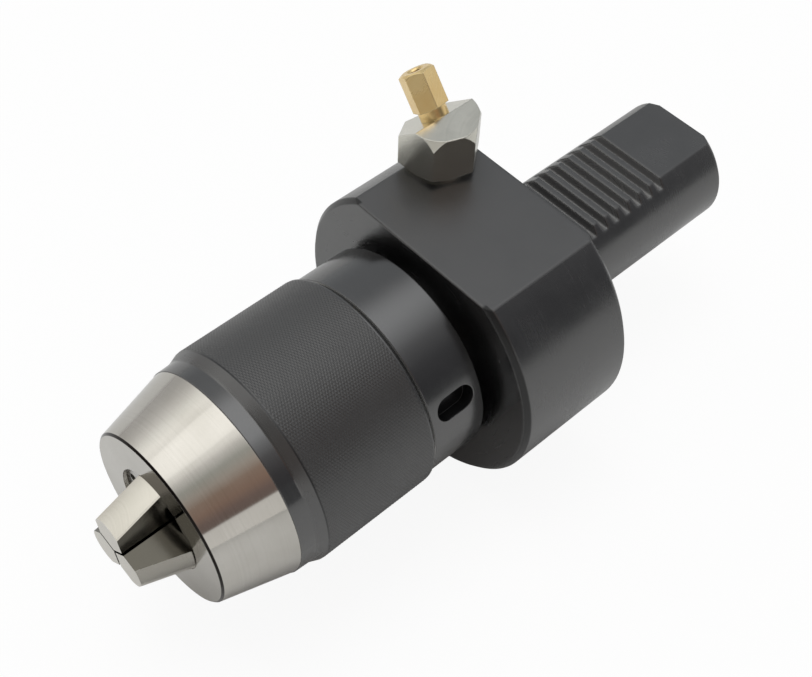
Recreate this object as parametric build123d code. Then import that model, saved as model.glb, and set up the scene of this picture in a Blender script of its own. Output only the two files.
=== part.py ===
"""Turret tool holder with a keyless drill chuck and a swivelling coolant nozzle.

Millimetres. +X runs along the spindle axis towards the jaw tips and +Z is the
normal of the flange's flat. The origin is the centre of the flange's seating
face, where the shank begins.
"""

import math
import os

from build123d import *

os.makedirs("parts", exist_ok=True)

# Fits used wherever two pieces meet.
RUNNING = 0.05
SIDE_PLAY = 0.1
END_PLAY = 0.2
BODY_GAP = 0.3

# Shank with its toothed flat.
SHANK_R = 15.0
SHANK_LENGTH = 55.0
SHANK_CHAMFER = 1.2
SHANK_FLAT_DEPTH = 3.0
TOOTH_PITCH = 3.7
TOOTH_LAST_X = -35.6
TOOTH_COUNT = 9
TOOTH_GAP_TOP = 2.2
TOOTH_GAP_BOTTOM = 1.2
TOOTH_DEPTH = 1.8
CENTRE_HOLE_R = 4.0
CENTRE_HOLE_TIP_R = 2.0
CENTRE_HOLE_DEPTH = 9.0

# Flange.
FLANGE_R = 34.0
FLANGE_THICK = 30.0
FLANGE_FLAT_DEPTH = 6.5
FLANGE_CHAMFER = 1.0

# Neck and core of the chuck, from the flange forwards.
NECK_R = 18.0
NECK_LENGTH = 2.7
RING_STEP = 1.0
CORE_STEP = 1.0
NUT_THREAD_STEP = 1.0

# Rear ring on the neck.
RING_R = 24.35
RING_LENGTH = 14.1
RING_EDGE = 0.5
SPANNER_SLOT_FROM_SEAT = 7.1
SPANNER_SLOT_ANGLE = 67.5
SPANNER_SLOT_LENGTH = 9.6
SPANNER_SLOT_WIDTH = 5.5
SPANNER_SLOT_DEPTH = 3.2
SET_SCREW_R = 2.5
SET_SCREW_TIP_R = 1.75
SET_SCREW_TIP_DEPTH = 1.0
SET_SCREW_BELOW = 1.0
SET_SCREW_SOCKET = 2.5
SET_SCREW_ANGLE = 180.0
WIPER_INSET = 1.5
WIPER_WIDTH = 2.2
WIPER_GROOVE_DEPTH = 1.5
WIPER_PROUD = 0.2

# Knurled sleeve.
SEAM = 0.3
SLEEVE_R = 25.1
SLEEVE_REAR_EDGE = 0.4
KNURL_LENGTH = 28.4
SLEEVE_SLOPE_LENGTH = 2.4
SLEEVE_BAND_R = 24.15
SLEEVE_BAND_LENGTH = 3.5
SLEEVE_FRONT_R = 24.0
SLEEVE_WALL = 2.7
SLEEVE_SKIN = 2.5

# Thrust bearing between the sleeve's rear wall and the nut on the core.
RACE_THICK = 1.2
BALL_R = 1.6
BALL_PITCH_FROM_CORE = 3.5
BALL_COUNT = 12
CAGE_INSET = 0.6
CAGE_THICK = 1.5
NUT_INSET = 0.4
NUT_THICK = 2.8
NUT_SLOT_COUNT = 4
NUT_SLOT_WIDTH = 4.0
NUT_SLOT_DEPTH = 1.2
NUT_SLOT_LENGTH = 3.2

# Nose hood.
HOOD_NUT_GAP = 0.7
HOOD_CONE_R = 23.9
HOOD_CONE_LENGTH = 15.9
HOOD_RIM_R = 19.85
HOOD_RIM_EDGE = 0.4
HOOD_SKIN = 1.6

# Jaws, which slide along lines inclined to the axis.
JAW_ANGLES = (-12.0, 108.0, 228.0)
JAW_INCLINE = 17.0
JAW_WIDTH = 7.5
JAW_BACK_RISE = 2.25
JAW_EDGE_R = 9.31
JAW_PROUD = 10.5
JAW_LENGTH = 21.1
JAW_GRIP_R = 0.35
JAW_TAIL_LOW = 2.5
JAW_TAIL_HEIGHT = 8.0
JAW_NECK_WIDTH = 4.0
JAW_NECK_LENGTH = 2.5
JAW_TAIL_THICK = 2.7

# Jaw guide inside the hood.
GUIDE_RING_WALL = 3.8
GUIDE_RING_LENGTH = 5.3
GUIDE_RECESS = 1.0
GUIDE_HOLE_R = 6.8
GUIDE_PIN_R = 1.0
GUIDE_PIN_LENGTH = 4.5
GUIDE_FACE_HOLE_R = 1.3
GUIDE_FACE_HOLE_AT_R = 9.5
GUIDE_FACE_HOLE_DEPTH = 1.5
CLIP_INSET = 0.8
CLIP_THICK = 1.2
CLIP_GROOVE = 0.8
CLIP_WIDTH = 2.0
CLIP_GAP = 4.0

# Lead screw, which moves the jaws.
SCREW_R = 6.45
SCREW_LENGTH = 34.0
SCREW_LEAD_IN = 1.0
SCREW_BORE_DEPTH = 36.3
SCREW_BORE_TIP = 3.0
SCREW_HEAD_R = 13.0
SCREW_HEAD_THICK = 7.5
SCREW_HEAD_EDGE = 0.5

# Coolant way, from the seating face to the nozzle.
NOZZLE_X = 7.9
NOZZLE_INSET = 16.25
INLET_DEPTH = 14.0
INLET_R = 2.5
NOZZLE_BORE_DEPTH = 11.1
NOZZLE_WELL_R = 2.6

# Nozzle body, with heights above the flange's flat and depths below it.
NOZZLE_SPIGOT_R = 4.0
NOZZLE_SPIGOT_LENGTH = 10.7
NOZZLE_WASHER_R = 7.7
NOZZLE_WASHER_THICK = 0.8
NOZZLE_AF = 16.0
NOZZLE_LOW_EDGE = 0.6
NOZZLE_TURN = 8.2
NOZZLE_CORNER_HEIGHT = 9.5
NOZZLE_CONE_SLOPE = 0.42
NOZZLE_HEIGHT = 12.0
NOZZLE_PIVOT_HEIGHT = 8.0
NOZZLE_TILT = 38.0
NOZZLE_FACE_S = 2.65
NOZZLE_WAY_R = 1.75
NOZZLE_SEAL_DEPTH = 5.5
NOZZLE_SEAL_WIDTH = 1.3
NOZZLE_SEAL_CORD = 1.0
NOZZLE_CLIP_DEPTH = 9.0
NOZZLE_CLIP_BITE = 0.8
NOZZLE_CLIP_PROUD = 0.6
NOZZLE_CLIP_THICK = 0.9
NOZZLE_CLIP_GAP = 2.0

# Brass jet in the nozzle body.
JET_THREAD_R = 2.7
JET_THREAD_LENGTH = 4.2
JET_HOLE_DEPTH = 5.2
JET_COLLAR_R = 3.1
JET_COLLAR_LENGTH = 2.2
JET_AF = 6.9
JET_HEX_LENGTH = 8.4
JET_TURN = 45.0
JET_END_R = 3.0
JET_BORE_R = 1.5
JET_MOUTH_EDGE = 0.4

# Seals in the seating face, drawn pressed flush as they are in use.
SHANK_SEAL_CORD_R = 0.8
SHANK_SEAL_BITE = 0.3
INLET_SEAL_GAP = 0.8
INLET_SEAL_CORD_R = 0.6

# Sizes that follow from the ones above.
TAN_INCLINE = math.tan(math.radians(JAW_INCLINE))
COS_INCLINE = math.cos(math.radians(JAW_INCLINE))
JAW_HALF = JAW_WIDTH / 2
JAW_BACK_R = (JAW_HALF**2 + JAW_BACK_RISE**2) / (2 * JAW_BACK_RISE)
SHANK_FLAT_Z = SHANK_R - SHANK_FLAT_DEPTH
FLANGE_FLAT_Z = FLANGE_R - FLANGE_FLAT_DEPTH
RING_SEAT_X = FLANGE_THICK + NECK_LENGTH
RING_FRONT_X = RING_SEAT_X + RING_LENGTH
RING_SEAT_R = NECK_R - RING_STEP
CORE_R = RING_SEAT_R - CORE_STEP
NUT_THREAD_R = CORE_R - NUT_THREAD_STEP
SPANNER_SLOT_X = RING_SEAT_X + SPANNER_SLOT_FROM_SEAT
WIPER_INNER_R = RING_SEAT_R + WIPER_INSET
WIPER_OUTER_R = WIPER_INNER_R + WIPER_WIDTH
SLEEVE_REAR_X = RING_FRONT_X + SEAM
SLEEVE_WALL_X = SLEEVE_REAR_X + SLEEVE_WALL
KNURL_END_X = SLEEVE_REAR_X + KNURL_LENGTH
SLEEVE_BAND_X = KNURL_END_X + SLEEVE_SLOPE_LENGTH
SLEEVE_FRONT_X = SLEEVE_BAND_X + SLEEVE_BAND_LENGTH
SLEEVE_BORE_R = SLEEVE_R - SLEEVE_SKIN
BALL_X = SLEEVE_WALL_X + RACE_THICK + RUNNING + BALL_R
BALL_PITCH_R = CORE_R + BALL_PITCH_FROM_CORE
FRONT_RACE_X = BALL_X + BALL_R + RUNNING
NUT_REAR_X = FRONT_RACE_X + RACE_THICK
NUT_R = SLEEVE_BORE_R - NUT_INSET
CORE_FRONT_X = NUT_REAR_X + NUT_THICK
HOOD_REAR_X = CORE_FRONT_X + HOOD_NUT_GAP
HOOD_FRONT_X = SLEEVE_FRONT_X + HOOD_CONE_LENGTH
HOOD_BORE_R = SLEEVE_BORE_R - HOOD_SKIN
JAW_TIP_X = HOOD_FRONT_X + JAW_PROUD
JAW_REAR_X = JAW_TIP_X - JAW_LENGTH
JAW_NECK_X = JAW_REAR_X - JAW_NECK_LENGTH
JAW_TAIL_X = JAW_NECK_X - JAW_TAIL_THICK
JAW_TAIL_HIGH = JAW_TAIL_LOW + JAW_TAIL_HEIGHT
SCREW_HEAD_FRONT_X = JAW_REAR_X - END_PLAY
SCREW_HEAD_REAR_X = SCREW_HEAD_FRONT_X - SCREW_HEAD_THICK
SCREW_REAR_X = SCREW_HEAD_REAR_X - SCREW_LENGTH
SCREW_BORE_R = SCREW_R + RUNNING
SCREW_BORE_END_X = CORE_FRONT_X - SCREW_BORE_DEPTH
CLIP_REAR_X = HOOD_REAR_X + CLIP_INSET
GUIDE_REAR_X = CLIP_REAR_X + CLIP_THICK
CLIP_OUTER_R = HOOD_BORE_R + CLIP_GROOVE
CLIP_INNER_R = CLIP_OUTER_R - CLIP_WIDTH
GUIDE_SLOT_X = GUIDE_REAR_X + GUIDE_RING_LENGTH
GUIDE_RING_INNER_R = HOOD_BORE_R - GUIDE_RING_WALL
GUIDE_WEB_X = JAW_REAR_X + END_PLAY
GUIDE_FRONT_X = HOOD_FRONT_X - GUIDE_RECESS
NOZZLE_Y = NOZZLE_INSET - FLANGE_R
INLET_Z = FLANGE_FLAT_Z - INLET_DEPTH
NOZZLE_BORE_BOTTOM_Z = FLANGE_FLAT_Z - NOZZLE_BORE_DEPTH
NOZZLE_SPIGOT_BOTTOM_Z = FLANGE_FLAT_Z - NOZZLE_SPIGOT_LENGTH
NOZZLE_CORNER_Z = FLANGE_FLAT_Z + NOZZLE_CORNER_HEIGHT
NOZZLE_TOP_Z = FLANGE_FLAT_Z + NOZZLE_HEIGHT
NOZZLE_PIVOT_Z = FLANGE_FLAT_Z + NOZZLE_PIVOT_HEIGHT
NOZZLE_SEAL_Z = FLANGE_FLAT_Z - NOZZLE_SEAL_DEPTH
NOZZLE_SEAL_BASE_R = NOZZLE_SPIGOT_R - NOZZLE_SEAL_CORD
NOZZLE_CLIP_Z = FLANGE_FLAT_Z - NOZZLE_CLIP_DEPTH
NOZZLE_CLIP_BASE_R = NOZZLE_SPIGOT_R - NOZZLE_CLIP_BITE
NOZZLE_CLIP_R = NOZZLE_SPIGOT_R + NOZZLE_CLIP_PROUD
SHANK_SEAL_R = SHANK_R - SHANK_SEAL_BITE + SHANK_SEAL_CORD_R
INLET_SEAL_R = INLET_R + INLET_SEAL_GAP + INLET_SEAL_CORD_R


def line_height(height, x):
    """Distance from the axis at x of a slide line that passes height at the hood's front."""
    return height + (HOOD_FRONT_X - x) * TAN_INCLINE


CREST_R = JAW_EDGE_R + JAW_BACK_RISE / COS_INCLINE
CONE_R = CREST_R + RUNNING / COS_INCLINE
CONE_REAR_X = HOOD_FRONT_X - (HOOD_BORE_R - CONE_R) / TAN_INCLINE


def turned(points):
    """A solid of revolution about X from its (x, radius) outline."""
    return revolve(make_face(Polyline(*points, close=True)), Axis.X)


def round_x(radius, x0, x1, y=0.0, z=0.0):
    """A cylinder along X from x0 to x1."""
    base = Plane(origin=(x0, y, z), x_dir=(0, 1, 0), z_dir=(1, 0, 0))
    return base * Cylinder(radius, x1 - x0, align=(Align.CENTER, Align.CENTER, Align.MIN))


def round_z(radius, z0, z1, x=NOZZLE_X, y=NOZZLE_Y):
    """A cylinder along Z from z0 to z1."""
    tall = Cylinder(radius, z1 - z0, align=(Align.CENTER, Align.CENTER, Align.MIN))
    return Pos(x, y, z0) * tall


def block(x0, x1, y0, y1, z0, z1):
    """A box between the given planes."""
    centre = Pos((x0 + x1) / 2, (y0 + y1) / 2, (z0 + z1) / 2)
    return centre * Box(x1 - x0, y1 - y0, z1 - z0)


def about_axis(shape, angle):
    """The shape turned about X, from +Z towards +Y."""
    return shape.rotate(Axis.X, -angle)


def radial(radius, inner, outer, x):
    """A cylinder along +Z from one distance to another from the axis."""
    return round_z(radius, inner, outer, x, 0.0)


def seal_ring(ring_r, cord_r, plane):
    """A rubber ring about the plane's normal, with an eight-sided cord."""
    cord = RegularPolygon(cord_r, 8)
    return plane * revolve(Plane.XZ * Pos(ring_r, 0) * cord, Axis.Z)


# Holder body: shank, flange, neck and core in one turned and milled piece.
tip_run = (CENTRE_HOLE_R - CENTRE_HOLE_TIP_R) / math.tan(math.radians(30))
holder_body = turned([
    (CENTRE_HOLE_DEPTH - SHANK_LENGTH, 0),
    (CENTRE_HOLE_DEPTH - SHANK_LENGTH, CENTRE_HOLE_TIP_R),
    (tip_run - SHANK_LENGTH, CENTRE_HOLE_TIP_R),
    (-SHANK_LENGTH, CENTRE_HOLE_R),
    (-SHANK_LENGTH, SHANK_R - SHANK_CHAMFER),
    (SHANK_CHAMFER - SHANK_LENGTH, SHANK_R),
    (0, SHANK_R),
    (0, SHANK_SEAL_R - SHANK_SEAL_CORD_R),
    (2 * SHANK_SEAL_CORD_R, SHANK_SEAL_R - SHANK_SEAL_CORD_R),
    (2 * SHANK_SEAL_CORD_R, SHANK_SEAL_R + SHANK_SEAL_CORD_R),
    (0, SHANK_SEAL_R + SHANK_SEAL_CORD_R),
    (0, FLANGE_R - FLANGE_CHAMFER),
    (FLANGE_CHAMFER, FLANGE_R),
    (FLANGE_THICK - FLANGE_CHAMFER, FLANGE_R),
    (FLANGE_THICK, FLANGE_R - FLANGE_CHAMFER),
    (FLANGE_THICK, NECK_R),
    (RING_SEAT_X, NECK_R),
    (RING_SEAT_X, RING_SEAT_R),
    (RING_FRONT_X, RING_SEAT_R),
    (RING_FRONT_X, CORE_R),
    (NUT_REAR_X, CORE_R),
    (NUT_REAR_X, NUT_THREAD_R),
    (CORE_FRONT_X, NUT_THREAD_R),
    (CORE_FRONT_X, SCREW_BORE_R + SCREW_LEAD_IN),
    (CORE_FRONT_X - SCREW_LEAD_IN, SCREW_BORE_R),
    (SCREW_BORE_END_X, SCREW_BORE_R),
    (SCREW_BORE_END_X - SCREW_BORE_TIP, 0),
])
holder_body -= block(-SHANK_LENGTH - 1, 0, -SHANK_R, SHANK_R, SHANK_FLAT_Z, SHANK_R + 1)
holder_body -= block(-1, FLANGE_THICK + 1, -FLANGE_R, FLANGE_R, FLANGE_FLAT_Z, FLANGE_R + 1)
tooth_gap = extrude(
    Plane.XZ.offset(-SHANK_R) * make_face(Polyline(
        (-TOOTH_GAP_TOP / 2, SHANK_FLAT_Z + 0.1),
        (TOOTH_GAP_TOP / 2, SHANK_FLAT_Z + 0.1),
        (TOOTH_GAP_BOTTOM / 2, SHANK_FLAT_Z - TOOTH_DEPTH),
        (-TOOTH_GAP_BOTTOM / 2, SHANK_FLAT_Z - TOOTH_DEPTH),
        close=True,
    )),
    2 * SHANK_R,
)
for k in range(TOOTH_COUNT):
    holder_body -= Pos(TOOTH_LAST_X + k * TOOTH_PITCH, 0, 0) * tooth_gap
holder_body -= about_axis(
    radial(SET_SCREW_TIP_R, RING_SEAT_R - SET_SCREW_TIP_DEPTH, RING_R, SPANNER_SLOT_X),
    SET_SCREW_ANGLE,
)
holder_body -= round_z(NOZZLE_SPIGOT_R + RUNNING, NOZZLE_BORE_BOTTOM_Z, FLANGE_R)
holder_body -= round_z(
    NOZZLE_CLIP_R + BODY_GAP,
    NOZZLE_CLIP_Z - NOZZLE_CLIP_THICK / 2 - SIDE_PLAY,
    NOZZLE_CLIP_Z + NOZZLE_CLIP_THICK / 2 + SIDE_PLAY,
)
holder_body -= round_z(NOZZLE_WELL_R, INLET_Z - NOZZLE_WELL_R, NOZZLE_BORE_BOTTOM_Z)
holder_body -= round_x(INLET_R, -1, NOZZLE_X, NOZZLE_Y, INLET_Z)
holder_body -= round_x(
    INLET_SEAL_R + INLET_SEAL_CORD_R, -1, 2 * INLET_SEAL_CORD_R, NOZZLE_Y, INLET_Z
) - round_x(INLET_SEAL_R - INLET_SEAL_CORD_R, -2, NOZZLE_X, NOZZLE_Y, INLET_Z)
export_step(holder_body, "parts/holder_body.step")

# Seals in the seating face, around the shank and around the coolant inlet.
shank_seal = seal_ring(
    SHANK_SEAL_R,
    SHANK_SEAL_CORD_R,
    Plane(origin=(SHANK_SEAL_CORD_R, 0, 0), x_dir=(0, 1, 0), z_dir=(1, 0, 0)),
)
export_step(shank_seal, "parts/shank_seal.step")
inlet_seal = seal_ring(
    INLET_SEAL_R,
    INLET_SEAL_CORD_R,
    Plane(origin=(INLET_SEAL_CORD_R, NOZZLE_Y, INLET_Z), x_dir=(0, 1, 0), z_dir=(1, 0, 0)),
)
export_step(inlet_seal, "parts/inlet_seal.step")

# Rear ring: plain collar on the neck with a slot for a hook spanner.
wiper_groove_x = RING_FRONT_X - WIPER_GROOVE_DEPTH
rear_ring = turned([
    (RING_SEAT_X, RING_SEAT_R),
    (RING_SEAT_X, RING_R - RING_EDGE),
    (RING_SEAT_X + RING_EDGE, RING_R),
    (RING_FRONT_X - RING_EDGE, RING_R),
    (RING_FRONT_X, RING_R - RING_EDGE),
    (RING_FRONT_X, WIPER_OUTER_R),
    (wiper_groove_x, WIPER_OUTER_R),
    (wiper_groove_x, WIPER_INNER_R),
    (RING_FRONT_X, WIPER_INNER_R),
    (RING_FRONT_X, RING_SEAT_R),
])
rear_ring -= about_axis(
    Pos(SPANNER_SLOT_X, 0, RING_R - SPANNER_SLOT_DEPTH) * extrude(
        SlotOverall(SPANNER_SLOT_LENGTH, SPANNER_SLOT_WIDTH), SPANNER_SLOT_DEPTH + 1
    ),
    SPANNER_SLOT_ANGLE,
)
rear_ring -= about_axis(
    radial(SET_SCREW_R, RING_SEAT_R - 2, RING_R + 2, SPANNER_SLOT_X), SET_SCREW_ANGLE
)
export_step(rear_ring, "parts/rear_ring.step")

# Set screw: its dog point sits in the neck and locks the rear ring.
set_screw_top = RING_R - SET_SCREW_BELOW
set_screw = radial(SET_SCREW_R, RING_SEAT_R, set_screw_top, SPANNER_SLOT_X)
set_screw += radial(
    SET_SCREW_TIP_R, RING_SEAT_R - SET_SCREW_TIP_DEPTH, RING_SEAT_R, SPANNER_SLOT_X
)
set_screw -= Pos(SPANNER_SLOT_X, 0, set_screw_top - SET_SCREW_SOCKET) * extrude(
    RegularPolygon(SET_SCREW_SOCKET / 2, 6, major_radius=False), SET_SCREW_SOCKET + 1
)
export_step(about_axis(set_screw, SET_SCREW_ANGLE), "parts/ring_set_screw.step")

# Wiper ring: felt ring that keeps chips out of the seam behind the sleeve.
wiper_ring = turned([
    (wiper_groove_x, WIPER_INNER_R),
    (wiper_groove_x, WIPER_OUTER_R),
    (RING_FRONT_X + WIPER_PROUD, WIPER_OUTER_R),
    (RING_FRONT_X + WIPER_PROUD, WIPER_INNER_R),
])
export_step(wiper_ring, "parts/wiper_ring.step")

# Sleeve: turned and knurled grip with a rear wall that runs on the core.
sleeve = turned([
    (SLEEVE_REAR_X, CORE_R + RUNNING),
    (SLEEVE_REAR_X, SLEEVE_R - SLEEVE_REAR_EDGE),
    (SLEEVE_REAR_X + SLEEVE_REAR_EDGE, SLEEVE_R),
    (KNURL_END_X, SLEEVE_R),
    (SLEEVE_BAND_X, SLEEVE_BAND_R),
    (SLEEVE_FRONT_X, SLEEVE_FRONT_R),
    (SLEEVE_FRONT_X, SLEEVE_BORE_R),
    (SLEEVE_WALL_X, SLEEVE_BORE_R),
    (SLEEVE_WALL_X, CORE_R + RUNNING),
])
export_step(sleeve, "parts/sleeve.step")

# Thrust bearing: rear race in the sleeve, front race against the nut.
rear_race = turned([
    (SLEEVE_WALL_X, CORE_R + BODY_GAP),
    (SLEEVE_WALL_X, SLEEVE_BORE_R),
    (SLEEVE_WALL_X + RACE_THICK, SLEEVE_BORE_R),
    (SLEEVE_WALL_X + RACE_THICK, CORE_R + BODY_GAP),
])
export_step(rear_race, "parts/rear_race.step")
front_race = turned([
    (FRONT_RACE_X, CORE_R),
    (FRONT_RACE_X, NUT_R),
    (NUT_REAR_X, NUT_R),
    (NUT_REAR_X, CORE_R),
])
export_step(front_race, "parts/front_race.step")

# Bearing cage with its row of balls, halfway between the races.
cage = turned([
    (BALL_X - CAGE_THICK / 2, CORE_R + CAGE_INSET),
    (BALL_X - CAGE_THICK / 2, SLEEVE_BORE_R - CAGE_INSET),
    (BALL_X + CAGE_THICK / 2, SLEEVE_BORE_R - CAGE_INSET),
    (BALL_X + CAGE_THICK / 2, CORE_R + CAGE_INSET),
])
balls = []
for k in range(BALL_COUNT):
    turn = math.radians(360 / BALL_COUNT * k)
    ball_y = BALL_PITCH_R * math.sin(turn)
    ball_z = BALL_PITCH_R * math.cos(turn)
    balls.append(Pos(BALL_X, ball_y, ball_z) * Sphere(BALL_R))
    cage -= round_x(BALL_R, BALL_X - CAGE_THICK, BALL_X + CAGE_THICK, ball_y, ball_z)
export_step(cage, "parts/bearing_cage.step")
export_step(Compound(children=balls), "parts/bearing_balls.step")

# Thrust nut: round nut on the core's front thread, slotted for a spanner.
thrust_nut = turned([
    (NUT_REAR_X, NUT_THREAD_R),
    (NUT_REAR_X, NUT_R),
    (CORE_FRONT_X, NUT_R),
    (CORE_FRONT_X, NUT_THREAD_R),
])
nut_slot = block(
    CORE_FRONT_X - NUT_SLOT_DEPTH,
    CORE_FRONT_X + 1,
    -NUT_SLOT_WIDTH / 2,
    NUT_SLOT_WIDTH / 2,
    NUT_R - NUT_SLOT_LENGTH,
    NUT_R + 1,
)
for k in range(NUT_SLOT_COUNT):
    thrust_nut -= about_axis(nut_slot, 360 / NUT_SLOT_COUNT * (k + 0.5))
export_step(thrust_nut, "parts/thrust_nut.step")

# Nose hood: its inner cone carries the backs of the jaws.
hood_pin = round_x(GUIDE_PIN_R, GUIDE_REAR_X, GUIDE_REAR_X + GUIDE_PIN_LENGTH, 0, HOOD_BORE_R)
nose_hood = turned([
    (HOOD_REAR_X, HOOD_BORE_R),
    (HOOD_REAR_X, SLEEVE_BORE_R),
    (SLEEVE_FRONT_X, SLEEVE_BORE_R),
    (SLEEVE_FRONT_X, HOOD_CONE_R),
    (HOOD_FRONT_X - HOOD_RIM_EDGE, HOOD_RIM_R),
    (HOOD_FRONT_X, HOOD_RIM_R - HOOD_RIM_EDGE),
    (HOOD_FRONT_X, line_height(CONE_R, HOOD_FRONT_X)),
    (CONE_REAR_X, HOOD_BORE_R),
    (GUIDE_REAR_X, HOOD_BORE_R),
    (GUIDE_REAR_X, CLIP_OUTER_R),
    (CLIP_REAR_X, CLIP_OUTER_R),
    (CLIP_REAR_X, HOOD_BORE_R),
])
jaw_guide = turned([
    (GUIDE_REAR_X, GUIDE_RING_INNER_R),
    (GUIDE_REAR_X, HOOD_BORE_R),
    (CONE_REAR_X, HOOD_BORE_R),
    (GUIDE_FRONT_X, line_height(CONE_R, GUIDE_FRONT_X)),
    (GUIDE_FRONT_X, GUIDE_HOLE_R),
    (GUIDE_WEB_X, GUIDE_HOLE_R),
    (GUIDE_WEB_X, SCREW_HEAD_R + BODY_GAP),
    (GUIDE_SLOT_X, SCREW_HEAD_R + BODY_GAP),
    (GUIDE_SLOT_X, GUIDE_RING_INNER_R),
])
jaw_slot = block(
    GUIDE_SLOT_X,
    HOOD_FRONT_X + 1,
    -JAW_HALF - RUNNING,
    JAW_HALF + RUNNING,
    0,
    HOOD_BORE_R + 1,
)
face_hole = round_x(
    GUIDE_FACE_HOLE_R,
    GUIDE_FRONT_X - GUIDE_FACE_HOLE_DEPTH,
    GUIDE_FRONT_X + 1,
    0,
    GUIDE_FACE_HOLE_AT_R,
)
guide_pins = []
for angle in JAW_ANGLES:
    jaw_guide -= about_axis(jaw_slot, angle)
    jaw_guide -= about_axis(face_hole, angle + 60)
    jaw_guide -= about_axis(hood_pin, angle + 60)
    nose_hood -= about_axis(hood_pin, angle + 60)
    guide_pins.append(about_axis(hood_pin, angle + 60))
export_step(nose_hood, "parts/nose_hood.step")
export_step(jaw_guide, "parts/jaw_guide.step")
export_step(Compound(children=guide_pins), "parts/guide_pins.step")

# Guide clip: split spring ring behind the guide, in a groove of the hood.
guide_clip = turned([
    (CLIP_REAR_X, CLIP_INNER_R),
    (CLIP_REAR_X, CLIP_OUTER_R),
    (GUIDE_REAR_X, CLIP_OUTER_R),
    (GUIDE_REAR_X, CLIP_INNER_R),
])
guide_clip -= block(
    CLIP_REAR_X - 1, GUIDE_REAR_X + 1, -CLIP_GAP / 2, CLIP_GAP / 2, -CLIP_OUTER_R - 1, 0
)
export_step(guide_clip, "parts/guide_clip.step")

# Lead screw: threaded shank in the core and a head with three T-slots.
screw_head_edge = SCREW_HEAD_R - SCREW_HEAD_EDGE
lead_screw = turned([
    (SCREW_REAR_X, 0),
    (SCREW_REAR_X, SCREW_R - SCREW_LEAD_IN),
    (SCREW_REAR_X + SCREW_LEAD_IN, SCREW_R),
    (SCREW_HEAD_REAR_X, SCREW_R),
    (SCREW_HEAD_REAR_X, screw_head_edge),
    (SCREW_HEAD_REAR_X + SCREW_HEAD_EDGE, SCREW_HEAD_R),
    (SCREW_HEAD_FRONT_X - SCREW_HEAD_EDGE, SCREW_HEAD_R),
    (SCREW_HEAD_FRONT_X, screw_head_edge),
    (SCREW_HEAD_FRONT_X, 0),
])
slot_mouth = block(
    JAW_NECK_X,
    SCREW_HEAD_FRONT_X + 1,
    -JAW_NECK_WIDTH / 2 - SIDE_PLAY,
    JAW_NECK_WIDTH / 2 + SIDE_PLAY,
    0,
    SCREW_HEAD_R + 1,
)
slot_wide = block(
    JAW_TAIL_X - SIDE_PLAY,
    JAW_NECK_X + SIDE_PLAY,
    -JAW_HALF - SIDE_PLAY,
    JAW_HALF + SIDE_PLAY,
    0,
    SCREW_HEAD_R + 1,
)
for angle in JAW_ANGLES:
    lead_screw -= about_axis(slot_mouth + slot_wide, angle)
export_step(lead_screw, "parts/lead_screw.step")

# Jaws: slanted bars with a round back, a ground grip wedge and a T-shaped tail.
arc_low = JAW_BACK_RISE - JAW_BACK_R
jaw_outline = make_face(
    ThreePointArc((-JAW_HALF, 0), (0, JAW_BACK_RISE), (JAW_HALF, 0))
    + Polyline((JAW_HALF, 0), (JAW_HALF, -2 * SLEEVE_R), (-JAW_HALF, -2 * SLEEVE_R), (-JAW_HALF, 0))
)
slide_line = Plane(
    origin=(HOOD_FRONT_X, 0, JAW_EDGE_R),
    x_dir=(0, 1, 0),
    z_dir=(COS_INCLINE, 0, -math.sin(math.radians(JAW_INCLINE))),
)
bar = extrude(slide_line * jaw_outline, 2 * JAW_LENGTH, both=True)
half_wedge = JAW_HALF / math.sqrt(3)
grip = extrude(
    Plane(origin=(JAW_REAR_X, 0, 0), x_dir=(0, 1, 0), z_dir=(1, 0, 0)) * make_face(Polyline(
        (0, JAW_GRIP_R),
        (JAW_HALF, JAW_GRIP_R + half_wedge),
        (JAW_HALF, SLEEVE_R),
        (-JAW_HALF, SLEEVE_R),
        (-JAW_HALF, JAW_GRIP_R + half_wedge),
        close=True,
    )),
    JAW_TIP_X - JAW_REAR_X,
)
jaw = bar & grip
jaw += block(
    JAW_NECK_X,
    JAW_REAR_X,
    -JAW_NECK_WIDTH / 2,
    JAW_NECK_WIDTH / 2,
    JAW_TAIL_LOW,
    JAW_TAIL_HIGH,
)
jaw += block(JAW_TAIL_X, JAW_NECK_X, -JAW_HALF, JAW_HALF, JAW_TAIL_LOW, JAW_TAIL_HIGH)
for number, angle in enumerate(JAW_ANGLES, start=1):
    export_step(about_axis(jaw, angle), f"parts/jaw_{number}.step")

# Nozzle body: stainless hexagon, coned at the top and cut off at a slant.
tilt = math.radians(NOZZLE_TILT)
jet_line = Plane(
    origin=(NOZZLE_X, NOZZLE_Y, NOZZLE_PIVOT_Z),
    x_dir=(0, math.cos(tilt), math.sin(tilt)),
    z_dir=(0, -math.sin(tilt), math.cos(tilt)),
)
corner_r = NOZZLE_AF / math.sqrt(3)
top_r = corner_r - NOZZLE_CONE_SLOPE * (NOZZLE_TOP_Z - NOZZLE_CORNER_Z)
washer_top = FLANGE_FLAT_Z + NOZZLE_WASHER_THICK
envelope = revolve(
    Plane.XZ * make_face(Polyline(
        (0, washer_top),
        (NOZZLE_WASHER_R, washer_top),
        (corner_r, washer_top + NOZZLE_LOW_EDGE),
        (corner_r, NOZZLE_CORNER_Z),
        (top_r, NOZZLE_TOP_Z),
        (0, NOZZLE_TOP_Z),
        close=True,
    )),
    Axis.Z,
)
hexagon = extrude(
    RegularPolygon(NOZZLE_AF / 2, 6, major_radius=False, rotation=NOZZLE_TURN + 30),
    NOZZLE_TOP_Z,
)
nozzle_body = Pos(NOZZLE_X, NOZZLE_Y, 0) * (envelope & hexagon)
nozzle_body += round_z(NOZZLE_WASHER_R, FLANGE_FLAT_Z, washer_top)
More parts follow.
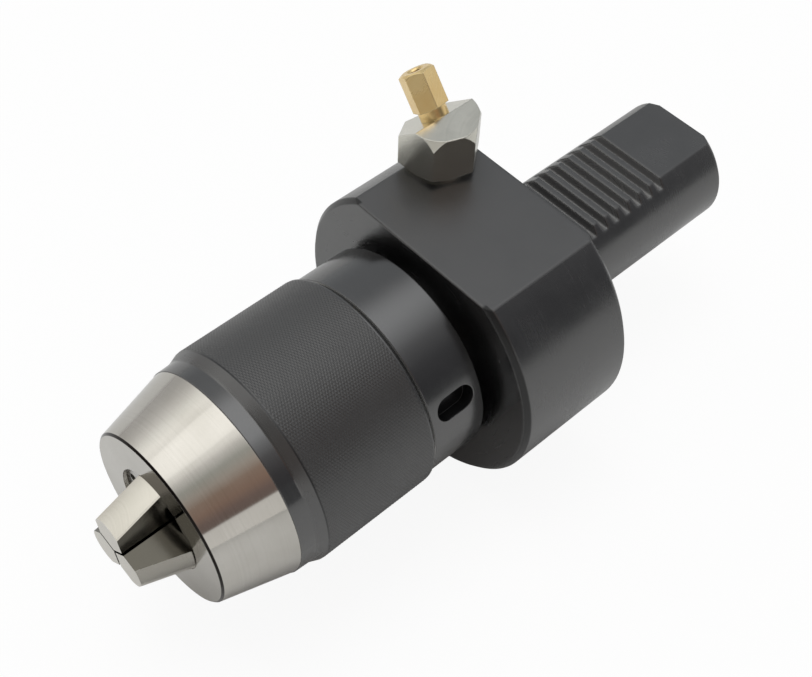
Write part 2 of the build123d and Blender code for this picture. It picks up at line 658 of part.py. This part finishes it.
nozzle_body += round_z(NOZZLE_SPIGOT_R, NOZZLE_SPIGOT_BOTTOM_Z, FLANGE_FLAT_Z)
nozzle_body -= jet_line * Pos(0, 0, NOZZLE_FACE_S) * Box(
    40, 40, 40, align=(Align.CENTER, Align.CENTER, Align.MIN)
)
for height, width, base_r in (
    (NOZZLE_SEAL_Z, NOZZLE_SEAL_WIDTH, NOZZLE_SEAL_BASE_R),
    (NOZZLE_CLIP_Z, NOZZLE_CLIP_THICK, NOZZLE_CLIP_BASE_R),
):
    nozzle_body -= round_z(
        NOZZLE_SPIGOT_R + 1, height - width / 2, height + width / 2
    ) - round_z(base_r, height - width, height + width)
nozzle_body -= round_z(NOZZLE_WAY_R, NOZZLE_SPIGOT_BOTTOM_Z - 1, NOZZLE_PIVOT_Z)
nozzle_body -= jet_line * Pos(0, 0, NOZZLE_FACE_S - JET_HOLE_DEPTH) * Cylinder(
    JET_THREAD_R, JET_HOLE_DEPTH + 1, align=(Align.CENTER, Align.CENTER, Align.MIN)
)
export_step(nozzle_body, "parts/nozzle_body.step")

# Nozzle seal and clip: O-ring and spring ring on the spigot.
seal_cord_r = (NOZZLE_SPIGOT_R - NOZZLE_SEAL_BASE_R) / 2
nozzle_seal = seal_ring(
    NOZZLE_SEAL_BASE_R + seal_cord_r,
    seal_cord_r,
    Plane(origin=(NOZZLE_X, NOZZLE_Y, NOZZLE_SEAL_Z), z_dir=(0, 0, 1)),
)
export_step(nozzle_seal, "parts/nozzle_seal.step")
nozzle_clip = round_z(
    NOZZLE_CLIP_R, NOZZLE_CLIP_Z - NOZZLE_CLIP_THICK / 2, NOZZLE_CLIP_Z + NOZZLE_CLIP_THICK / 2
)
nozzle_clip -= round_z(NOZZLE_CLIP_BASE_R, NOZZLE_SPIGOT_BOTTOM_Z, NOZZLE_SEAL_Z)
nozzle_clip -= block(
    NOZZLE_X,
    NOZZLE_X + NOZZLE_CLIP_R + 1,
    NOZZLE_Y - NOZZLE_CLIP_GAP / 2,
    NOZZLE_Y + NOZZLE_CLIP_GAP / 2,
    NOZZLE_SPIGOT_BOTTOM_Z,
    NOZZLE_SEAL_Z,
)
export_step(nozzle_clip, "parts/nozzle_clip.step")

# Jet: turned from hexagon bar, screwed square into the slanted face.
jet_start = NOZZLE_FACE_S - JET_THREAD_LENGTH
collar_top = NOZZLE_FACE_S + JET_COLLAR_LENGTH
jet_end = collar_top + JET_HEX_LENGTH
jet_corner_r = JET_AF / math.sqrt(3)
jet_cone = (jet_corner_r - JET_END_R) / math.sqrt(3)
jet_head = Pos(0, 0, collar_top) * extrude(
    RegularPolygon(JET_AF / 2, 6, major_radius=False, rotation=JET_TURN), JET_HEX_LENGTH
)
jet_head &= revolve(
    Plane.XZ * make_face(Polyline(
        (0, collar_top),
        (jet_corner_r, collar_top),
        (jet_corner_r, jet_end - jet_cone),
        (JET_END_R, jet_end),
        (0, jet_end),
        close=True,
    )),
    Axis.Z,
)
jet = revolve(
    Plane.XZ * make_face(Polyline(
        (0, jet_start),
        (JET_THREAD_R, jet_start),
        (JET_THREAD_R, NOZZLE_FACE_S),
        (JET_COLLAR_R, NOZZLE_FACE_S),
        (JET_COLLAR_R, collar_top),
        (0, collar_top),
        close=True,
    )),
    Axis.Z,
)
mouth_r = JET_BORE_R + JET_MOUTH_EDGE
jet_way = revolve(
    Plane.XZ * make_face(Polyline(
        (0, jet_start - 1),
        (JET_BORE_R, jet_start - 1),
        (JET_BORE_R, jet_end - JET_MOUTH_EDGE),
        (mouth_r, jet_end),
        (mouth_r, jet_end + 1),
        (0, jet_end + 1),
        close=True,
    )),
    Axis.Z,
)
export_step(jet_line * (jet + jet_head - jet_way), "parts/nozzle_jet.step")
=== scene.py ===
"""Turret tool holder with a keyless drill chuck: finishes, knurl, light and camera."""

import math

import bpy
import numpy as np
from mathutils import Matrix, Vector


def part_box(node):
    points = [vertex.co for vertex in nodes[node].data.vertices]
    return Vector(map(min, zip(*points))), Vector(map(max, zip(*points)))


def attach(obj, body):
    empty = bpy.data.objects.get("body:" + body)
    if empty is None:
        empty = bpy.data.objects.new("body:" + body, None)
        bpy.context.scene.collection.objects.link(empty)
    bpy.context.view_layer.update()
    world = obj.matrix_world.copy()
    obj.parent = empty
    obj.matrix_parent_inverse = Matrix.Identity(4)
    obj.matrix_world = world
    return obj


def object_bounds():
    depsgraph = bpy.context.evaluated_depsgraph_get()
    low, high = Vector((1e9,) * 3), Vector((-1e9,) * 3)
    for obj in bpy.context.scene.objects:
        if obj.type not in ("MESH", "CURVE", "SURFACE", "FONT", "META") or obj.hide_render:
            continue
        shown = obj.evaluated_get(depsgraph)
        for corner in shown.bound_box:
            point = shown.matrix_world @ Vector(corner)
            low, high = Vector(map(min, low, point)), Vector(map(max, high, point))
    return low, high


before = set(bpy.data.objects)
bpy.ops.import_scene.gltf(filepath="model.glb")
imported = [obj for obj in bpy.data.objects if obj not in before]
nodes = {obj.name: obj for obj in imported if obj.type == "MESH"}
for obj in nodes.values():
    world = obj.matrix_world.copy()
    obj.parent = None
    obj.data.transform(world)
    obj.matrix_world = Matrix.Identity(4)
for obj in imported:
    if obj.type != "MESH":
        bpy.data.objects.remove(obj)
cad_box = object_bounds()


# Holder body. One piece of alloy steel, turned, with its flat and teeth milled,
# ground on the shank and then blackened in a hot oxide bath. The oxide is a thin
# dark glaze on metal: nearly black, with a soft sheen that shows what lies beside it.
GRAIN = 0.0004  # metres across a spot; the real grain is too fine for a pixel
CLOUD = 0.011  # metres across a patch of slightly different tone


def linear(hex_colour):
    """The linear RGBA of an sRGB hex colour."""
    parts = [int(hex_colour[i:i + 2], 16) / 255 for i in (1, 3, 5)]
    return [c / 12.92 if c <= 0.04045 else ((c + 0.055) / 1.055) ** 2.4 for c in parts] + [1.0]


def add(tree, kind, inputs=None, **settings):
    """A new node with its settings, and a value or a linked socket for each input."""
    made = tree.nodes.new(kind)
    for key, value in settings.items():
        setattr(made, key, value)
    for key, value in (inputs or {}).items():
        if isinstance(value, bpy.types.NodeSocket):
            tree.links.new(value, made.inputs[key])
        else:
            made.inputs[key].default_value = value
    return made


def ramp(tree, value, start, end, low=0.0, high=1.0):
    """The value taken from start..end to low..high, and held beyond both ends."""
    return add(tree, "ShaderNodeMapRange", {
        "Value": value, "From Min": start, "From Max": end, "To Min": low, "To Max": high,
    }).outputs[0]


def sums(tree, operation, *values):
    """One step of arithmetic on numbers or sockets."""
    return add(tree, "ShaderNodeMath", dict(enumerate(values)), operation=operation).outputs[0]


def blend(tree, share, one, other):
    """A colour between two, by share."""
    return add(tree, "ShaderNodeMix", {0: share, 6: one, 7: other}, data_type="RGBA").outputs[2]


def machined(
    name, colours, roughness, pitch, depth, wear, edge=0.0002, turn=(0, 0, 0), **shader
):
    """A machined surface, with tool marks round the X axis of the part.

    The marks are noise along s, the place along the axis plus the distance from it,
    so they are rings on a round and on a face. Their pitch is coarser than a real
    feed, which would be lost between pixels. Broad soft noise and the marks move
    colour and roughness between two values, and fine noise adds the grain. Edges are
    rounded by the edge radius and rubbed towards the wear colour. Constant values sit
    on the shader's own sockets. Returns the finish, its tree, its shader and the
    sockets and nodes that later steps build on, by name.
    """
    finish = bpy.data.materials.new(name)
    finish.use_nodes = True
    tree = finish.node_tree
    tree.nodes.clear()
    skin = add(tree, "ShaderNodeBsdfPrincipled", shader)
    add(tree, "ShaderNodeOutputMaterial", {"Surface": skin.outputs["BSDF"]})
    seat = add(tree, "ShaderNodeTexCoord")
    place = add(tree, "ShaderNodeMapping", {
        "Vector": seat.outputs["Object"], "Rotation": turn,
    }).outputs[0]
    split = add(tree, "ShaderNodeSeparateXYZ", {"Vector": place})
    flat = add(tree, "ShaderNodeVectorMath", {0: place, 1: (0, 1, 1)}, operation="MULTIPLY")
    radius = add(
        tree, "ShaderNodeVectorMath", {0: flat.outputs[0]}, operation="LENGTH"
    ).outputs["Value"]
    marks = add(tree, "ShaderNodeTexNoise", {
        "W": sums(tree, "ADD", split.outputs["X"], radius),
        "Scale": 1 / pitch, "Detail": 3.0, "Roughness": 0.6,
    }, noise_dimensions="1D").outputs["Fac"]
    grain = add(tree, "ShaderNodeTexNoise", {
        "Vector": place, "Scale": 1 / GRAIN, "Detail": 2.0, "Roughness": 0.5,
    }).outputs["Fac"]
    cloud = add(tree, "ShaderNodeTexNoise", {
        "Vector": place, "Scale": 1 / CLOUD, "Detail": 4.0, "Roughness": 0.6,
    }).outputs["Fac"]
    tone = ramp(tree, sums(tree, "MULTIPLY_ADD", marks, 0.35, cloud), 0.45, 0.9)
    colour = blend(tree, tone, linear(colours[0]), linear(colours[1]))

    # Where the rounded normal leaves the true one, an edge is near and the surface is worn.
    rounded = add(tree, "ShaderNodeBevel", {"Radius": edge}, samples=6).outputs[0]
    facing = add(tree, "ShaderNodeNewGeometry")
    bend = add(tree, "ShaderNodeVectorMath", {
        0: rounded, 1: facing.outputs["Normal"],
    }, operation="DOT_PRODUCT").outputs["Value"]
    rub = sums(tree, "MULTIPLY_ADD", cloud, 0.12, bend)
    shown = blend(tree, ramp(tree, rub, 1.02, 0.9, high=0.7), colour, linear(wear))
    tree.links.new(shown, skin.inputs["Base Color"])
    dull = ramp(tree, tone, 0.0, 1.0, roughness[0], roughness[1])
    tree.links.new(dull, skin.inputs["Roughness"])
    bump = add(tree, "ShaderNodeBump", {
        "Height": sums(tree, "MULTIPLY_ADD", grain, 0.25, marks),
        "Distance": depth, "Strength": 1.0, "Normal": rounded,
    })
    tree.links.new(bump.outputs["Normal"], skin.inputs["Normal"])
    made = {
        "x": split.outputs["X"], "z": split.outputs["Z"], "radius": radius,
        "colour": shown, "roughness": dull, "bump": bump, "normal": seat.outputs["Normal"],
    }
    return finish, tree, skin, made


def dress(finish, *names):
    """Puts a finish on CAD nodes."""
    for name in names:
        nodes[name].data.materials.clear()
        nodes[name].data.materials.append(finish)


# Hot black oxide on turned and ground steel. The high index of the iron oxide gives
# the strong sheen of a dark surface.
black_oxide, tree, skin, made = machined(
    "black_oxide_turned_steel", ("#111112", "#1a1a1b"), (0.2, 0.3),
    0.0006, 0.0000010, "#232324", edge=0.0009, IOR=2.1,
)
# The chamfer round the flange's front is left rough from the lathe and takes less
# shine, and the milled flat is a little duller than the turned rounds.
CHAMFER_X = (0.0288, 0.0291)
CHAMFER_R = (0.0328, 0.0331)
FLAT_Z = (0.0272, 0.0274)
chamfer = sums(
    tree, "MULTIPLY", ramp(tree, made["x"], *CHAMFER_X), ramp(tree, made["radius"], *CHAMFER_R)
)
tree.links.new(ramp(tree, chamfer, 0.0, 1.0, 0.5, 0.15), skin.inputs["Specular IOR Level"])
milled = sums(tree, "ADD", made["roughness"], ramp(tree, made["z"], *FLAT_Z, high=0.12))
tree.links.new(milled, skin.inputs["Roughness"])
# Between the clamping teeth, below the shank's flat, the grooves are painted lighter, a
# matt grey of painted light. It is faint near the flange and hides the grooves at the other
# end.
GROOVE_BOTTOM_Z = (0.0092, 0.0095)
GROOVE_TOP_Z = (0.01195, 0.0117)
GROOVE_R = (0.0149, 0.0147)
GROOVE_LIGHT_X = (-0.006, -0.028)
in_groove = sums(
    tree, "MULTIPLY",
    ramp(tree, made["z"], *GROOVE_BOTTOM_Z), ramp(tree, made["z"], *GROOVE_TOP_Z),
)
in_groove = sums(tree, "MULTIPLY", in_groove, ramp(tree, made["radius"], *GROOVE_R))
groove_painted_light = sums(tree, "MULTIPLY", in_groove, ramp(tree, made["x"], *GROOVE_LIGHT_X, 0.25, 0.95))
# Painted light: the groove bottoms are lightened towards a matt grey.
tree.links.new(blend(tree, groove_painted_light, made["colour"], linear("#636363")), skin.inputs["Base Color"])
dress(black_oxide, "holder_body", "ring_set_screw", "thrust_nut")

# Rear ring: blackened like the body but polished before it, so that reflections on it
# have edges. Wear has bared the steel on its two rims, and its slot is dull inside.
polished_oxide, tree, skin, made = machined(
    "black_oxide_polished_steel", ("#111112", "#1b1b1c"), (0.15, 0.24),
    0.0005, 0.0000008, "#3a3a3b", edge=0.0003, IOR=2.15,
)
RIM = 0.00045
SLOT_R = (0.0237, 0.0239)
ring_rear, ring_front = (corner[0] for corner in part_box("rear_ring"))
at_rims = sums(
    tree, "MAXIMUM",
    ramp(tree, made["x"], ring_rear + RIM, ring_rear + 0.6 * RIM),
    ramp(tree, made["x"], ring_front - RIM, ring_front - 0.6 * RIM),
)
outside_slot = ramp(tree, made["radius"], *SLOT_R)
bared = sums(tree, "MULTIPLY", at_rims, outside_slot)
tree.links.new(bared, skin.inputs["Metallic"])
tree.links.new(blend(tree, bared, made["colour"], linear("#a8a8a6")), skin.inputs["Base Color"])
tree.links.new(ramp(tree, outside_slot, 0.0, 1.0, 0.1, 0.5), skin.inputs["Specular IOR Level"])
dress(polished_oxide, "rear_ring")

# Sleeve: blackened steel, turned, with its grip rolled between knurling wheels.
sleeve_oxide, tree, skin, made = machined(
    "black_oxide_rolled_steel", ("#121213", "#1c1c1d"), (0.24, 0.34),
    0.0005, 0.0000012, "#3a3a3b", edge=0.0003, IOR=2.15,
)
# A run-out line in front of the knurl, where the wheels stopped, holds oil and is dull.
# The band in front of the slope is turned finer than the rest and shines more.
LINE_START_X = (0.07505, 0.0751)
LINE_END_X = (0.0756, 0.0755)
BAND_X = (0.0774, 0.0777)
run_out = sums(
    tree, "MULTIPLY",
    ramp(tree, made["x"], *LINE_START_X), ramp(tree, made["x"], *LINE_END_X),
)
tree.links.new(ramp(tree, run_out, 0.0, 1.0, 0.5, 0.22), skin.inputs["Specular IOR Level"])
finer = sums(tree, "MULTIPLY", made["roughness"], ramp(tree, made["x"], *BAND_X, 1.0, 0.5))
tree.links.new(finer, skin.inputs["Roughness"])
dress(sleeve_oxide, "sleeve")

# Diamond knurl of the sleeve, 0.65 mm pitch. Two crossed rows of V-grooves leave low
# pyramids, which stand less than a tenth of a millimetre above the turned round.
KNURL_X = (0.0478, 0.0752)
KNURL_R = 0.02512
KNURL_PITCH = 0.00065
KNURL_HEIGHT = 0.00006
KNURL_TUCK = 0.0001  # how far the band's first and last rows go down into the sleeve


def knurl_band(name, x_range, radius, pitch, height):
    """A band of pyramids round X.

    Grid point (i, j) lies half a pitch from its neighbours. Points with i + j odd are
    peaks, at radius plus height, and the others are where grooves cross, at radius.
    Each square is split along its groove. The first and last rows turn into the sleeve.
    """
    around = 2 * round(math.pi * (radius + height) / pitch)
    rows = 2 * round((x_range[1] - x_range[0]) / pitch)
    wide = rows + 3
    i, j = np.meshgrid(np.arange(around), np.arange(wide), indexing="ij")
    x = np.interp(np.clip(j - 1, 0, rows), (0, rows), x_range)
    r = radius + height * ((i + j) % 2) * (j > 1) * (j < rows + 1)
    r = np.where((j > 0) & (j < rows + 2), r, radius - KNURL_TUCK)
    angle = 2 * np.pi * i / around
    points = np.stack([x, r * np.sin(angle), r * np.cos(angle)], -1).reshape(-1, 3)
    a = (i[:, :-1] * wide + j[:, :-1]).ravel()
    b = (((i[:, :-1] + 1) % around) * wide + j[:, :-1]).ravel()
    c, d = b + 1, a + 1
    peak = ((i + j)[:, :-1] % 2 == 1).ravel()[:, None]
    first = np.where(peak, np.stack([a, b, d], 1), np.stack([a, b, c], 1))
    second = np.where(peak, np.stack([b, c, d], 1), np.stack([a, c, d], 1))
    faces = np.concatenate([first, second])[:, ::-1]
    mesh = bpy.data.meshes.new(name)
    mesh.from_pydata(points.tolist(), [], faces.tolist())
    mesh.update()
    piece = bpy.data.objects.new(name, mesh)
    bpy.context.scene.collection.objects.link(piece)
    return piece


# The oxide of the knurl is duller than on the plain rounds, and the pyramids' tips
# are coloured a little lighter than the grooves.
knurl_oxide, tree, skin, made = machined(
    "black_oxide_knurled_steel", ("#101011", "#19191a"), (0.36, 0.46),
    0.0005, 0.0000010, "#19191a", edge=0.00002, IOR=1.95,
)
tip = ramp(tree, made["radius"], KNURL_R + 0.5 * KNURL_HEIGHT, KNURL_R + KNURL_HEIGHT, high=0.4)
tree.links.new(blend(tree, tip, made["colour"], linear("#303031")), skin.inputs["Base Color"])
knurl = knurl_band("sleeve_knurl", KNURL_X, KNURL_R, KNURL_PITCH, KNURL_HEIGHT)
knurl.data.materials.append(knurl_oxide)
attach(knurl, "grip_sleeve")

# Nose hood: case-hardened steel, ground on the cone and left bright. The wheel leaves
# fine rings round the cone, which draw reflections out along it into straight bands.
# A dark line of painted shade runs round the broken edge of its mouth.
ground_steel, tree, skin, made = machined(
    "ground_hardened_steel", ("#bdbab3", "#cbc8c2"), (0.08, 0.14),
    0.00035, 0.0000003, "#dddad4",
    Metallic=1.0, Anisotropic=0.7, **{"Anisotropic Rotation": 0.25},
)
MOUTH_X = (0.09684, 0.0969)
MOUTH_R = (0.01935, 0.01945)
round_about = add(tree, "ShaderNodeTangent", direction_type="RADIAL", axis="X")
tree.links.new(round_about.outputs[0], skin.inputs["Tangent"])
# Painted shade: a dark line round the mouth's edge.
mouth_painted_shade = sums(
    tree, "MULTIPLY", ramp(tree, made["x"], *MOUTH_X), ramp(tree, made["radius"], *MOUTH_R)
)
tree.links.new(blend(tree, mouth_painted_shade, made["colour"], linear("#2a2725")), skin.inputs["Base Color"])
dress(ground_steel, "nose_hood")

# Jaw guide: hardened steel, faced on the lathe.
faced_steel = machined(
    "faced_hardened_steel", ("#bdbbb7", "#cfcdc9"), (0.18, 0.28),
    0.0004, 0.0000008, "#e0ddd8", Metallic=1.0,
)[0]
dress(faced_steel, "jaw_guide")

# Jaws: tool steel. Backs and tips are ground bright, and the backs are worn nearly flat
# by the slanted channels, so each shows one broad reflection. The flanks are painted
# dark grey, as painted shade.
JAW_ANGLES = {"jaw_1": -12, "jaw_2": 108, "jaw_3": 228}
JAW_INCLINE = math.radians(17)
OUTER_SIDE = (0.35, 0.42)  # from here on a face counts as facing outwards
BACK_PULL = 7.0  # how much the normals of a back lean to its middle
for name, degrees in JAW_ANGLES.items():
    jaw_steel, tree, skin, made = machined(
        "ground_tool_steel_" + name[-1], ("#cecac0", "#ddd9d0"), (0.14, 0.22),
        0.0003, 0.0000006, "#e6e2d8", edge=0.00015, Metallic=1.0,
    )
    angle = math.radians(degrees)
    outwards = (
        math.sin(JAW_INCLINE),
        math.cos(JAW_INCLINE) * math.sin(angle), math.cos(JAW_INCLINE) * math.cos(angle),
    )
    faces_out = add(tree, "ShaderNodeVectorMath", {
        0: made["normal"], 1: outwards,
    }, operation="DOT_PRODUCT").outputs["Value"]
    level = add(tree, "ShaderNodeSeparateXYZ", {"Vector": made["normal"]})
    outer_face_unshaded = ramp(
        tree, sums(tree, "ADD", level.outputs["X"], faces_out), *OUTER_SIDE
    )
    # Painted shade: faces that don't turn outwards take a dark grey in place of the steel's
    # colour.
    tree.links.new(
        blend(tree, outer_face_unshaded, linear("#5f5c54"), made["colour"]), skin.inputs["Base Color"]
    )
    pull = add(tree, "ShaderNodeVectorMath", {
        0: outwards, 3: ramp(tree, faces_out, *OUTER_SIDE, high=BACK_PULL),
    }, operation="SCALE")
    lean = add(tree, "ShaderNodeVectorMath", {
        0: made["normal"], 1: pull.outputs[0],
    }, operation="ADD")
    turned_out = add(tree, "ShaderNodeVectorTransform", {
        "Vector": lean.outputs[0],
    }, vector_type="NORMAL", convert_from="OBJECT", convert_to="WORLD")
    tree.links.new(turned_out.outputs[0], made["bump"].inputs["Normal"])
    dress(jaw_steel, name)

# Lead screw: heat-treated steel with a left-hand thread, oiled and brownish grey.
oiled_steel = machined(
    "oiled_treated_steel", ("#6f6a62", "#8f8a80"), (0.3, 0.42),
    0.0004, 0.000002, "#b5b1a8", Metallic=1.0,
)[0]
dress(oiled_steel, "lead_screw")

# Thrust bearing and guide pins: polished chrome steel, and a cage of pressed brass.
bearing_steel = machined(
    "polished_chrome_steel", ("#c4c4c6", "#dadadb"), (0.1, 0.18),
    0.0003, 0.0000006, "#e6e6e7", edge=0.0001, Metallic=1.0,
)[0]
dress(bearing_steel, "rear_race", "front_race", "guide_pins", "bearing_balls")
cage_brass = machined(
    "pressed_brass", ("#b48b4a", "#cda765"), (0.28, 0.4),
    0.0006, 0.000002, "#e3c27f", edge=0.0001, Metallic=1.0,
)[0]
dress(cage_brass, "bearing_cage")

# Spring rings behind the guide and on the nozzle: blued spring steel.
spring_steel = machined(
    "blued_spring_steel", ("#3a3d45", "#555a64"), (0.25, 0.38),
    0.0005, 0.0000015, "#8d9098", edge=0.0001, Metallic=1.0,
)[0]
dress(spring_steel, "guide_clip", "nozzle_clip")

# Wiper ring of pressed wool felt: dull and uneven, with ridges of fibres instead of
# tool marks.
felt = machined(
    "pressed_wool_felt", ("#3b3a37", "#55534e"), (0.9, 0.98),
    0.0008, 0.00012, "#65635e",
)[0]
dress(felt, "wiper_ring")

# Seals of moulded nitrile rubber: black, smooth and half matt.
nitrile = machined(
    "moulded_nitrile_rubber", ("#111112", "#1b1b1c"), (0.45, 0.6),
    0.0012, 0.000004, "#1e1e1f",
)[0]
dress(nitrile, "shank_seal", "inlet_seal", "nozzle_seal")

# Coolant nozzle: stainless hexagon bar, turned at the top, so its marks run round
# its own upright axis.
stainless = machined(
    "turned_stainless_steel", ("#d3d1c7", "#e4e2d8"), (0.2, 0.28),
    0.0005, 0.0000004, "#f0eee6", edge=0.0003, turn=(0, math.pi / 2, 0), Metallic=1.0,
)[0]
dress(stainless, "nozzle_body")

# Jet: free-cutting brass, turned from hexagon bar and still bright.
jet_brass = machined(
    "turned_brass", ("#f2cf8e", "#fce2a8"), (0.22, 0.32),
    0.0004, 0.0000005, "#fff3cc", edge=0.0003, Metallic=1.0,
)[0]
dress(jet_brass, "nozzle_jet")

# Floor: pale paper under the flange that catches a soft shadow. It glows to the
# camera as the photograph's white background does.
FLOOR_Z = cad_box[0][2] - 0.0005
FLOOR_HALF = 3.0
GLOW_SHARE = 0.9
SQUARE = ((-1, -1), (1, -1), (1, 1), (-1, 1))
corners = [(FLOOR_HALF * u, FLOOR_HALF * v, FLOOR_Z) for u, v in SQUARE]
floor_mesh = bpy.data.meshes.new("studio_floor")
floor_mesh.from_pydata(corners, [], [(0, 1, 2, 3)])
floor = bpy.data.objects.new("studio_floor", floor_mesh)
bpy.context.scene.collection.objects.link(floor)
paper = bpy.data.materials.new("pale_studio_paper")
paper.use_nodes = True
tree = paper.node_tree
tree.nodes.clear()
ray = add(tree, "ShaderNodeLightPath")
matt = add(tree, "ShaderNodeBsdfDiffuse", {"Color": linear("#f1f2f2")})
glow = add(tree, "ShaderNodeEmission", {"Color": (1, 1, 1, 1), "Strength": 1.02})
mixed = add(tree, "ShaderNodeMixShader", {
    0: sums(tree, "MULTIPLY", ray.outputs["Is Camera Ray"], GLOW_SHARE),
    1: matt.outputs[0], 2: glow.outputs[0],
})
add(tree, "ShaderNodeOutputMaterial", {"Surface": mixed.outputs[0]})
floor.data.materials.append(paper)

# Studio: pale walls. On the near side a warm dark gap lies between the table and the
# softbox, which the ground cone shows as a brown band.
world = bpy.data.worlds.new("studio")
bpy.context.scene.world = world
world.use_nodes = True
tree = world.node_tree
tree.nodes.clear()
ray = add(tree, "ShaderNodeLightPath")
way = add(tree, "ShaderNodeTexCoord")
split = add(tree, "ShaderNodeSeparateXYZ", {"Vector": way.outputs["Generated"]})


def wall(*pairs):
    """The colour of a wall by height, from pairs of the direction's Z and a hex colour."""
    heights = add(tree, "ShaderNodeValToRGB", {"Fac": split.outputs["Z"]})
    heights.color_ramp.elements.remove(heights.color_ramp.elements[1])
    for place, hex_colour in pairs[1:]:
        heights.color_ramp.elements.new(place).color = linear(hex_colour)
    heights.color_ramp.elements[0].color = linear(pairs[0][1])
    return heights.outputs["Color"]


def between(axis, start, end, one, other):
    """A soft change from one wall to another along an axis of the direction."""
    return blend(tree, ramp(tree, split.outputs[axis], start, end), one, other)


far_front = wall(
    (0, "#999796"), (0.18, "#9e9d9b"), (0.34, "#aaa9a7"), (0.5, "#bebdbb"),
    (0.63, "#d4d4d1"), (0.75, "#e4e3e0"), (0.86, "#dddcd9"),
)
near_front = wall(
    (0, "#b9b8b6"), (0.31, "#b7b6b4"), (0.335, "#5e534f"), (0.46, "#635551"),
    (0.6, "#776359"), (0.73, "#7c6b61"), (0.83, "#908983"), (0.91, "#90918d"),
    (0.96, "#b7b6b4"), (0.985, "#e7e6e4"),
)
far_rear = wall(
    (0, "#9fa1a2"), (0.26, "#8f9193"), (0.74, "#929496"), (0.8, "#a8a9aa"),
    (0.84, "#c2c3c4"), (0.88, "#dcddde"), (0.93, "#f0f1f2"),
)
near_rear = wall(
    (0, "#5d5e5f"), (0.26, "#535355"), (0.55, "#616163"), (0.77, "#8a8a8b"),
    (0.88, "#c9cacb"), (0.93, "#f0f1f2"),
)
front = wall((0, "#a3a19e"), (0.3, "#6b6967"))
behind = wall((0, "#a9a9aa"), (0.5, "#a0a0a1"))
far = between("X", -0.3, 0.05, far_rear, far_front)
near = between("X", -0.25, -0.05, near_rear, near_front)
near = between("X", -0.8, -0.62, behind, near)
sides = between("Y", -0.1, 0.15, far, near)
walls = add(tree, "ShaderNodeBackground", {
    "Color": between("X", 0.25, 0.42, sides, front), "Strength": 1.7,
})
white = add(tree, "ShaderNodeBackground", {"Color": (1, 1, 1, 1), "Strength": 1.0})
mixed = add(tree, "ShaderNodeMixShader", {
    0: ray.outputs["Is Camera Ray"], 1: walls.outputs[0], 2: white.outputs[0],
})
add(tree, "ShaderNodeOutputWorld", {"Surface": mixed.outputs[0]})

# Lamps: a square softbox overhead, and one that lights the part and the paper but
# isn't shown in the steel's reflections.
LIT = (0.03, 0, 0)


def softbox(name, at, size, power):
    """A square lamp that shines from a point towards the part, and returns it."""
    lamp = bpy.data.lights.new(name, "AREA")
    lamp.size, lamp.energy = size, power
    piece = bpy.data.objects.new(name, lamp)
    aim = (Vector(at) - Vector(LIT)).to_track_quat("Z", "Y").to_matrix().to_4x4()
    piece.matrix_world = Matrix.Translation(at) @ aim
    bpy.context.scene.collection.objects.link(piece)
    return piece


softbox("overhead_softbox", (0.28, -0.27, 1.0), 0.45, 0.17)
softbox("table_light", (0.1, -0.2, 1.3), 0.6, 3.75).visible_glossy = False

# Camera: at the photograph's viewing angle and distance, found from the outlines of
# the flange, sleeve, hood and shank. Angles in degrees, places in millimetres, the
# focal length in pixels of the image's width.
AZIMUTH, ELEVATION, ROLL = 135.517, 51.833, 2.589
AIM_X, AIM_UP, DISTANCE = 32.349, 1.495, 297.473
FOCAL, IMAGE_WIDTH, SENSOR = 1387.628, 812, 36.0
a, e, r = (math.radians(angle) for angle in (AZIMUTH, ELEVATION, ROLL))
back = Vector((math.sin(a) * math.cos(e), -math.cos(a) * math.cos(e), math.sin(e)))
level = Vector((math.cos(a), math.sin(a), 0))
up = back.cross(level)
right = level * math.cos(r) + up * math.sin(r)
up = up * math.cos(r) - level * math.sin(r)
eye = (Vector((AIM_X, 0, 0)) + up * AIM_UP + back * DISTANCE) / 1000
lens = bpy.data.cameras.new("camera")
lens.sensor_width = SENSOR
lens.lens = SENSOR * FOCAL / IMAGE_WIDTH
lens.clip_start, lens.clip_end = 0.01, 20
camera = bpy.data.objects.new("camera", lens)
bpy.context.scene.collection.objects.link(camera)
camera.matrix_world = Matrix((
    (right.x, up.x, back.x, eye.x),
    (right.y, up.y, back.y, eye.y),
    (right.z, up.z, back.z, eye.z),
    (0, 0, 0, 1),
))
bpy.context.scene.camera = camera
bpy.context.scene.view_settings.view_transform = "Standard"
